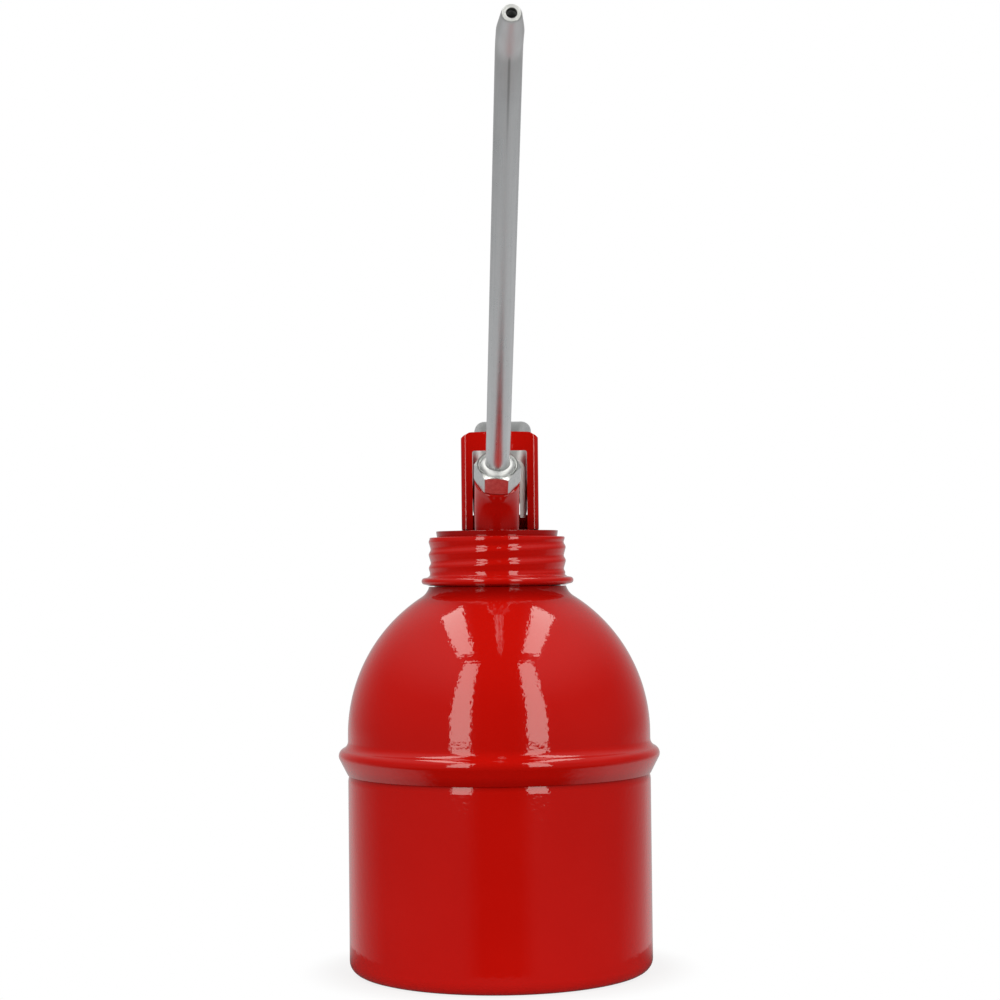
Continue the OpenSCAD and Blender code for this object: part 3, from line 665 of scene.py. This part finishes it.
# %% Draw the blank
frame_half, frame_h, frame_shift = 11.5, 29.5, 1.0
window_half, window_h, cheek_h = 8.1, 23.85, 27.5
plate_t, plate_y, fold_r = 1.5, -4.3, 1.7
flat = frame_half - fold_r
fold_end = flat + fold_r * math.pi / 2
lever_arm, lever_swing = 12.5, math.radians(25)
pivot_y, pivot_h = lever_arm * math.cos(lever_swing / 2), 12.3
pin_hole_r = 2.02


def cheek(y):
    """How far along the blank a point of the cheek lies that ends up at depth y."""
    return fold_end + y - plate_y - fold_r


right_side = [
    (0, 0, 0),
    (cheek(12.2), 0, 0.3),
    (cheek(pivot_y + 5), 9.6, 2),
    (cheek(pivot_y + 5), pivot_h + 2, 4),
    (cheek(3.4), cheek_h, 3),
    (fold_end + 0.4, cheek_h, 2),
    (flat - 0.9, frame_h - 0.15, 2.2),
    (flat - 5, frame_h - 0.03, 8),
    (0, frame_h, 0),
]
outline = soften(right_side)[1:]
outline += [Vector((-p.x, p.y)) for p in reversed(outline[:-1])]
window = [(-window_half, -1), (window_half, -1), (window_half, window_h, 0.6), (-window_half, window_h, 0.6)]
holes = [
    soften(window),
    arc((cheek(pivot_y), pivot_h), pin_hole_r, 0, 345, 23),
    arc((-cheek(pivot_y), pivot_h), pin_hole_r, 0, 345, 23),
]
print("blank is", round(2 * cheek(pivot_y + 5), 1), "mm wide before folding")


# %% Fill the blank with triangles
def inside(point, loop):
    """Counts how many sides of the loop lie to the right of the point: an odd count is inside."""
    crossings = 0
    for a, b in zip(loop, loop[1:] + loop[:1]):
        if (a.y > point.y) != (b.y > point.y):
            crossings += point.x < a.x + (point.y - a.y) * (b.x - a.x) / (b.y - a.y)
    return crossings % 2 == 1


def on_sheet(point, loops):
    return inside(point, loops[0]) and not any(inside(point, hole) for hole in loops[1:])


def fill(loops, columns, row_step):
    """Triangles between an outer loop and its holes, with extra points on the given columns."""
    spots, edges = [], []
    for loop in loops:
        first = len(spots)
        spots += loop
        edges += [(first + i, first + (i + 1) % len(loop)) for i in range(len(loop))]
    top = max(p.y for p in loops[0])
    for x in columns:
        z = row_step / 2
        while z < top:
            spot = Vector((x, z))
            clear = min((spot - q).length for loop in loops for q in loop) > 0.35 * row_step
            if clear and on_sheet(spot, loops):
                spots.append(spot)
            z += row_step
    points, _, triangles, *_ = geometry.delaunay_2d_cdt(spots, edges, [], 0, 1e-6, False)
    kept = []
    for triangle in triangles:
        centre = sum((points[i] for i in triangle), Vector((0, 0))) / len(triangle)
        if on_sheet(centre, loops):
            kept.append(list(triangle))
    return points, kept


fold_columns = [side * (flat + fold_r * k / 8 * math.pi / 2) for side in (-1, 1) for k in range(9)]
sheet_points, sheet_faces = fill([outline, *holes], fold_columns, 0.9)
print("blank has", len(sheet_faces), "triangles")

# %% Fold the blank and give it its thickness
def folded(u, depth):
    """The place in plan of a point u millimetres along the blank, depth below its outer face."""
    side, u = math.copysign(1, u), abs(u)
    if u < flat:
        return side * u, plate_y + depth
    if u < fold_end:
        turn, r = (u - flat) / fold_r, fold_r - depth
        return side * (flat + r * math.sin(turn)), plate_y + fold_r - r * math.cos(turn)
    return side * (frame_half - depth), plate_y + fold_r + u - fold_end


def thick_sheet(points, triangles, place):
    """Both faces of a sheet and the rim between them. place(u, v, depth) gives a 3-D point."""
    verts = [place(p.x, p.y, depth) for depth in (0, 1) for p in points]
    count = len(points)
    faces = triangles + [[count + i for i in reversed(t)] for t in triangles]
    sides = dict.fromkeys((a, b) for t in triangles for a, b in zip(t, t[1:] + t[:1]))
    faces += [[b, a, count + a, count + b] for a, b in sides if (b, a) not in sides]
    return verts, faces


def on_head(x, y, z):
    return Vector((x + frame_shift, y, z + crown_z)) * MM


def on_folds(u, v, depth):
    return on_head(*folded(u, depth * plate_t), v)


def on_web(u, v, depth):
    return on_head(u, web_y + depth * plate_t, v)


def ease_edges(piece, width):
    """Rolls over the sharp edges of a piece, then weighs its normals by the faces' sizes."""
    edge = piece.modifiers.new("edge", "BEVEL")
    edge.width, edge.segments = width * MM, 2
    edge.limit_method, edge.angle_limit = "ANGLE", math.radians(50)
    edge.use_clamp_overlap = True
    shade = piece.modifiers.new("shade", "WEIGHTED_NORMAL")
    shade.keep_sharp, shade.weight = True, 90


web_half, web_h, web_y = 10.0, 5, 10.7
web = [Vector(corner) for corner in ((-web_half, 0), (web_half, 0), (web_half, web_h), (-web_half, web_h))]
verts, faces = thick_sheet(sheet_points, sheet_faces, on_folds)
web_verts, web_faces = thick_sheet(*fill([web], [], web_h), on_web)
faces += [[len(verts) + i for i in face] for face in web_faces]
bracket = add_piece("bracket_sheet", "head", verts + web_verts, faces, enamel, "head_frame")
ease_edges(bracket, 0.22)

# %% [markdown]
# ## The barrel
# Behind the spout's nut a short painted barrel rises from the cap and leans over toward the
# spout. It carries the oil up from the block under the cap, through a narrower spigot. A bent
# cylinder could be made with a modifier, but the spout further on has a bend too. So one
# function describes a path with a single bend, and rings of any radius are laid along it,
# up the outside and back down the bore.

# %% Lay rings along a path with one bend
def bent_path(start, radius, angle):
    """A path that runs up Z, bends toward -Y after start millimetres, and runs straight on."""

    def place(s):
        turn = min(max(0, s - start) / radius, angle)
        spot = Vector((0, radius * (math.cos(turn) - 1), min(s, start) + radius * math.sin(turn)))
        rest = max(0, s - start - radius * turn)
        return spot + Vector((0, -math.sin(turn), math.cos(turn))) * rest, turn

    return place


def swept(path, stations, frame_at, sides=72):
    """Points and quads of rings (distance along the path, radius), closed from last to first."""
    verts = []
    for s, r in stations:
        spot, turn = path(s)
        up = Vector((0, math.cos(turn), math.sin(turn)))
        for k in range(sides):
            angle = 2 * math.pi * k / sides
            point = spot + Vector((1, 0, 0)) * r * math.cos(angle) + up * r * math.sin(angle)
            verts.append((frame_at @ point) * MM)
    return verts, grid_faces(len(stations), sides)


elbow_path = bent_path(0, elbow_r, elbow_angle)
elbow_end = elbow_r * elbow_angle
print("the barrel's bend ends", [round(v, 1) for v in elbow_path(elbow_end)[0]], "mm from its foot")

# %% Bend the barrel
barrel_r, spigot_r, socket_r, bore_r = 6.6, 3.0, 5.4, 1.5
barrel_frame = Matrix.Translation((0, -barrel_front, crown_z)) @ Matrix.Rotation(spout_turn, 4, "Z")
socket_end = elbow_end + 3.6
barrel_rings = [(-13.7, bore_r), (-13.7, spigot_r - 0.4), (-13.3, spigot_r), (0, spigot_r)]
barrel_rings += [(0, barrel_r - 0.15), (0.8, barrel_r - 0.05), (1.6, barrel_r)]
barrel_rings += [(1.6 + (elbow_end - 1.8) * k / 24, barrel_r) for k in range(1, 25)]
barrel_rings += [(elbow_end, barrel_r - 0.2), (elbow_end, socket_r)]
barrel_rings += [(socket_end - 0.2, socket_r), (socket_end, socket_r - 0.2)]
barrel_rings += [(socket_end - (socket_end - 2) * k / 12, 2.7) for k in range(13)] + [(2, bore_r)]
barrel_mesh = swept(elbow_path, barrel_rings, barrel_frame, 112)
add_piece("barrel_wall", "head", *barrel_mesh, enamel, "barrel")
spout_frame = (
    barrel_frame @ Matrix.Translation(elbow_path(elbow_end)[0]) @ Matrix.Rotation(elbow_angle, 4, "X")
)

# %% [markdown]
# ## The spout's nut
# A hexagon nut is turned from bar: the lathe chamfers its two ends to a shallow cone, and
# where the cone meets the flats it leaves the six curved lines that make a nut look like
# a nut. A six-sided cylinder with a bevel never shows them. Here every column of the mesh
# takes its length from the cone, and its radius from the hexagon.

# %% Shape the nut
nut_af, nut_start, nut_end = 12.0, 0.2, 6.5
nut_bore_r, nut_hole_r, nut_lip, corner_r = 5.45, 5.2, 1.6, 0.35
chamfer_slope = 0.577


def hexagon(angle):
    """Distance from the axis to the side of a hexagon with slightly rounded corners."""
    apothem = nut_af / 2
    off = abs((angle + math.pi / 6) % (math.pi / 3) - math.pi / 6)
    centre = (apothem - corner_r) / math.cos(math.pi / 6)
    limit = math.atan2(corner_r * 0.5, centre + corner_r * math.cos(math.pi / 6))
    if off < limit:
        return centre * math.cos(off) + math.sqrt(corner_r**2 - (centre * math.sin(off)) ** 2)
    return apothem / math.cos(math.pi / 6 - off)


def nut_column(angle):
    """One column of the nut, as (radius, distance along its axis): in at the foot, up, and back in."""
    edge, cone_r, hole_r = hexagon(angle), nut_af / 2 - 0.1, nut_hole_r
    drop = chamfer_slope * max(0, edge - cone_r)
    rows = [(nut_bore_r, nut_start + 0.2), (nut_bore_r + 0.2, nut_start), (cone_r, nut_start)]
    rows += [(edge, nut_start + drop + 0.02), (edge, nut_start + drop + 0.3)]
    rows += [(edge, nut_end - drop - 0.3), (edge, nut_end - drop - 0.02)]
    rows += [(cone_r, nut_end), (hole_r + 0.42, nut_end), (hole_r + 0.3, nut_end - 0.06)]
    rows += [(hole_r, nut_end - 0.4), (hole_r, nut_end - nut_lip), (nut_bore_r, nut_end - nut_lip)]
    return rows


near_corner = (0, 0.6, 1.2, 2, 3, 5, 9, 14, 20, 26)
steps = [-a for a in reversed(near_corner[1:])] + list(near_corner) + [30]
nut_angles = [math.radians(60 * k + a) for k in range(6) for a in steps]
nut_frame = spout_frame @ Matrix.Rotation(math.radians(-5), 4, "Z")
nut_verts = []
for angle in nut_angles:
    for r, s in nut_column(angle):
        nut_verts.append((nut_frame @ Vector((r * math.cos(angle), r * math.sin(angle), s))) * MM)
nut_faces = grid_faces(len(nut_angles), len(nut_column(0)))
add_piece("spout_nut_plated", "head", nut_verts, nut_faces, satin_plate, "spout_nut", sharp_angle=22)

# %% [markdown]
# ## The spout
# The spout is a drawn tube, bent forward near its end and reduced to a cone at the tip. Its
# foot is swaged to a collar that the nut clamps. A curve with a bevel could give the tube,
# but not its collar, its cone or its bore. One path runs up the middle instead, and rings of
# changing radius follow it: up the outside, over the tip, and back down the bore.

# %% Lay the spout's rings
tube_r, tube_in_r, hole_r = 3.5, 2.7, 1.36
bend_at, bend_l = 143.8, 12.0 * bend_angle
nose_l, tip_l = 4.6, 8.0
tip_start = bend_at + bend_l + nose_l
tip_end = tip_start + tip_l
spout_path = bent_path(bend_at, 12.0, bend_angle)
shoulder_at, shoulder_h, shoulder_w, collar_end = 5.48, 1.6, 1.7, 7.6
clamped_collar = [(4.12, tube_in_r), (4.12, 5.3), (4.86, 5.3), (4.88, 5.1), (5.4, 5.1)]
for k in range(10):
    a = k * math.pi / 20
    clamped_collar.append((shoulder_at + shoulder_h * math.sin(a), tube_r + shoulder_w * math.cos(a)))
clamped_collar += [(7.12, tube_r + 0.12), (7.3, tube_r + 0.03), (collar_end, tube_r)]
straight = [(collar_end + (bend_at - collar_end) * k / 40, tube_r) for k in range(1, 41)]
curve = [(bend_at + bend_l * k / 16, tube_r) for k in range(1, 17)]
cone = [(tip_start - 1.2, tube_r), (tip_start - 0.4, 3.48), (tip_start + 0.4, 3.42)]
cone += [(tip_start + tip_l * f, 3.48 - 0.96 * f) for f in (0.12, 0.25, 0.4, 0.6, 0.8, 0.9)]
cone += [(tip_end - 0.45, 2.53), (tip_end - 0.2, 2.45), (tip_end - 0.06, 2.3), (tip_end, 2.1)]
mouth = [(tip_end, 1.6), (tip_end - 0.08, 1.42), (tip_end - 0.3, hole_r), (tip_end - 1.2, hole_r)]
bore = [(tip_start, tube_in_r)] + [(bend_at + bend_l * k / 8, tube_in_r) for k in range(8, -1, -1)]
spout_rings = clamped_collar + straight + curve + cone + mouth + bore
add_piece("spout_pipe", "head", *swept(spout_path, spout_rings, spout_frame), spout_zinc, "spout_tube")
print("spout ends", round((spout_frame @ spout_path(tip_end)[0]).z, 1), "mm up")

# %% [markdown]
# ## The thumb lever
# The lever is a channel pressed from plate: a web on top with a flange down each side. It
# rises from its two front legs, humps over the pivot and ends in a broad plate for the
# thumb. It could be a box model under a subdivision surface, but its section changes slowly
# all the way, so it is lofted through many sections whose heights and width come from a few
# smooth curves. From above the pivot on, the web leans a little to the right.

# %% Curves of the lever
lever_t, lever_bend = 1.6, 3.0
front_y, crest_y, tail_y = -2.0, 31.0, 48.0
front_h, crest_h, tail_drop = 21.2, 34.6, 3.6
leg_low, pivot_low, flange_h, flange_rise = 3.8, 7.5, 7, 2.6
front_half, cheek_half, thumb_half = 7.55, 8.2, 8.8
tail_round, thumb_lean = 5.0, 1.1


def ease(t):
    return t * t * (3 - 2 * t)


def web_height(y):
    if y < crest_y:
        return front_h + (crest_h - front_h) * math.sin(math.pi / 2 * (y - front_y) / (crest_y - front_y))
    return crest_h - tail_drop * ((y - crest_y) / (tail_y - crest_y)) ** 2


def edge_height(y):
    if y < pivot_y:
        return leg_low + (pivot_low - leg_low) * ease(max(0, y - front_y) / (pivot_y - front_y))
    if y < crest_y:
        return pivot_low + (crest_h - flange_h - pivot_low) * ease((y - pivot_y) / (crest_y - pivot_y))
    return web_height(y) - flange_h + flange_rise * (y - crest_y) / (tail_y - crest_y)


def half_width(y):
    before, after = pivot_y - 4, pivot_y + 4
    if y < before:
        return front_half + (cheek_half - front_half) * ease((y - front_y) / (before - front_y))
    if y < after:
        return cheek_half
    if y < crest_y:
        return cheek_half + (thumb_half - cheek_half) * ease((y - after) / (crest_y - after))
    if y < tail_y - tail_round:
        return thumb_half
    return thumb_half - tail_round + math.sqrt(max(0, tail_round**2 - (y - tail_y + tail_round) ** 2))


def lean(y):
    return thumb_lean * ease(min(1, max(0, y - pivot_y) / (crest_y - pivot_y)))


print("thumb plate is", 2 * half_width(crest_y), "mm wide")

# %% Loft the lever
def channel_section(y):
    """The channel at one depth, as a loop: over the outer side, and back along the inner one."""
    w, top, low = half_width(y), web_height(y), edge_height(y)
    r, s = lever_bend, lever_bend - lever_t
    side = [Vector((w, low + (top - r - low) * k / 4)) for k in range(4)]
    outer = side + arc((w - r, top - r), r, 0, 90, 8)
    inner = [Vector((w - lever_t, p.y)) for p in side] + arc((w - r, top - r), s, 0, 90, 8)
    outer += [Vector((-p.x, p.y)) for p in reversed(outer)]
    inner += [Vector((-p.x, p.y)) for p in reversed(inner)]
    return outer + inner[::-1]


lever_stations = [front_y + (tail_y - tail_round - front_y) * k / 90 for k in range(91)]
lever_stations += [tail_y - tail_round + tail_round * math.sin(k * math.pi / 24) for k in range(1, 13)]
lever_verts = [on_head(p.x + lean(y), y, p.y) for y in lever_stations for p in channel_section(y)]
rows = len(lever_verts) // len(lever_stations)
lever_faces = grid_faces(len(lever_stations), rows, close_columns=False)
last = len(lever_verts) - rows
for j in range(rows // 2 - 1):
    lever_faces.append([rows - 1 - j, rows - 2 - j, j + 1, j])
    lever_faces.append([last + j, last + j + 1, last + rows - 2 - j, last + rows - 1 - j])
lever = add_piece("thumb_lever", "press_lever", lever_verts, lever_faces, lever_zinc, "lever")
ease_edges(lever, 0.25)

# %% [markdown]
# ## Light and surroundings
# Gloss shows the room, not the paint. Two tall soft boxes stand either side of the camera,
# and two long ones lie flat overhead: they are the paired patches on the dome. A glowing card
# would show in the gloss too, but it lights the can with more noise. An area lamp does both.

# %% Hang the soft boxes
def soft_box(name, place, away, width, height, glow):
    """An area lamp, in metres. away points from the can to it, and its face glows this brightly."""
    lamp = bpy.data.lights.new(name, "AREA")
    lamp.shape, lamp.size, lamp.size_y = "RECTANGLE", width, height
    lamp.energy = glow * math.pi * width * height
    lamp.color = (1.0, 0.99, 0.92)
    made = bpy.data.objects.new(name, lamp)
    made.location = place
    made.rotation_mode = "QUATERNION"
    made.rotation_quaternion = away.to_track_quat("Z", "Y")
    bpy.context.scene.collection.objects.link(made)


box_turn, box_distance, box_middle = math.radians(28.3), 0.95, Vector((0, 0, 0.617))
overhead = Vector((0, 0, 1))
for side, name in ((-1, "left"), (1, "right")):
    away = Vector((side * math.sin(box_turn), -math.cos(box_turn), 0))
    soft_box("tall_box_" + name, away * box_distance + box_middle, away, 0.255, 1.246, 3.4)
    soft_box("flat_box_" + name, Vector((side * 0.383, -0.085, 0.95)), overhead, 0.206, 0.77, 3.8)

# %% [markdown]
# ## The room
# Ahead of the can the studio is dark, which keeps the red deep. Behind it, and low down on
# that side, is white paper, whose reflection rims the sides of the can and greys the spout.
# Pale screens stand at both sides. A ring of real cards would need many lamps, so one world
# shader holds all of it: plain white for the camera, the room by its direction for gloss and
# glass, and for everything else a soft fill that is strongest from the sides.

# %% Light the room
def ray_masks(wire):
    """Two masks: 1 for what the camera sees directly, and 1 for what shows in gloss or glass."""
    rays = wire.node("ShaderNodeLightPath").socket.node.outputs
    in_mirror = Wire(wire.tree, rays["Is Glossy Ray"]) + Wire(wire.tree, rays["Is Transmission Ray"])
    return Wire(wire.tree, rays["Is Camera Ray"]), in_mirror


world = bpy.data.worlds.new("studio")
world.use_nodes = True
bpy.context.scene.world = world
world.node_tree.nodes.clear()
wire = Wire(world.node_tree)
across, behind, up = split_xyz(wire, wire.node("ShaderNodeTexCoord", out="Generated"))
below = at_least(0 - up, 0)
paper = at_least(behind + below * 1.25 * ramp(wire, behind + below * 0.7, 0.15, 0.42), 0)
screens = ramp(wire, abs(across), 0.2, 0.5) * ramp(wire, up, -0.6, -0.2)
room = at_most(paper, 1) ** 3 * 0.53 + screens * (0.08 + ramp(wire, up, 0.3, 0.8) * 0.22)
fill_light = 0.28 + across * across * 0.65 + up * 0.12
seen, mirrored = ray_masks(wire)
glow = seen + (1 - seen) * (room * mirrored + fill_light * (1 - mirrored))
backdrop = wire.node("ShaderNodeBackground", {}, {"Color": (1, 1, 1, 1), "Strength": glow})
wire.node("ShaderNodeOutputWorld", {}, {"Surface": backdrop})
print("world nodes:", len(world.node_tree.nodes))

# %% [markdown]
# ## The floor
# The can stands on a round of white card. Near the can the card keeps some of its shadow, and
# toward the rim it is as white as the backdrop, so no edge shows. A wide plane would need a
# far brighter light to turn white. Here a mask by the distance from the can mixes a lit card
# with a glowing one. In gloss the card shows dark in front of the can and pale behind it, as
# the room does.

# %% Paint the card
floor_paint, wire, coords = new_finish("floor_paint", Roughness=0.9)
speckle = noise(wire, coords, 60, detail=2.0)
feed(floor_paint, Base_Color=tint(wire, speckle, (0.70, 0.70, 0.70), (0.74, 0.74, 0.74)))
tree = floor_paint.node_tree
distance = wire.node("ShaderNodeVectorMath", {"operation": "LENGTH"}, {0: coords}, out=1)
seen, mirrored = ray_masks(wire)
whiteness = seen * ramp(wire, distance, can_r * MM, 0.062, 0.82, 1.0) + mirrored
paper_glow = seen + mirrored * ramp(wire, split_xyz(wire, coords)[1], 0.0, 0.05, 0.08, 0.5)
glowing = wire.node("ShaderNodeEmission", {}, {"Color": (1, 1, 1, 1), "Strength": paper_glow})
lit = Wire(tree, tree.nodes["Principled BSDF"].outputs[0])
both = wire.node("ShaderNodeMixShader", {}, {0: whiteness, 1: lit, 2: glowing})
tree.links.new(both.socket, tree.nodes["Material Output"].inputs["Surface"])

# %% Lay the card
card_r, corners = 0.075, 96
turns = [2 * math.pi * k / corners for k in range(corners)]
floor_mesh = bpy.data.meshes.new("floor")
rim = [(card_r * math.cos(a), card_r * math.sin(a), 0) for a in turns]
floor_mesh.from_pydata(rim, [], [list(range(corners))])
floor_mesh.materials.append(floor_paint)
floor = bpy.data.objects.new("floor", floor_mesh)
bpy.context.scene.collection.objects.link(floor)
print("card is", 2 * card_r, "m across")

# %% [markdown]
# ## The view transform
# The Standard view transform shows a colour as it is written, where a film-like one would
# grey the red. The dressed can may not be larger than the imported one.

# %% Set the view transform
bpy.context.scene.view_settings.view_transform = "Standard"
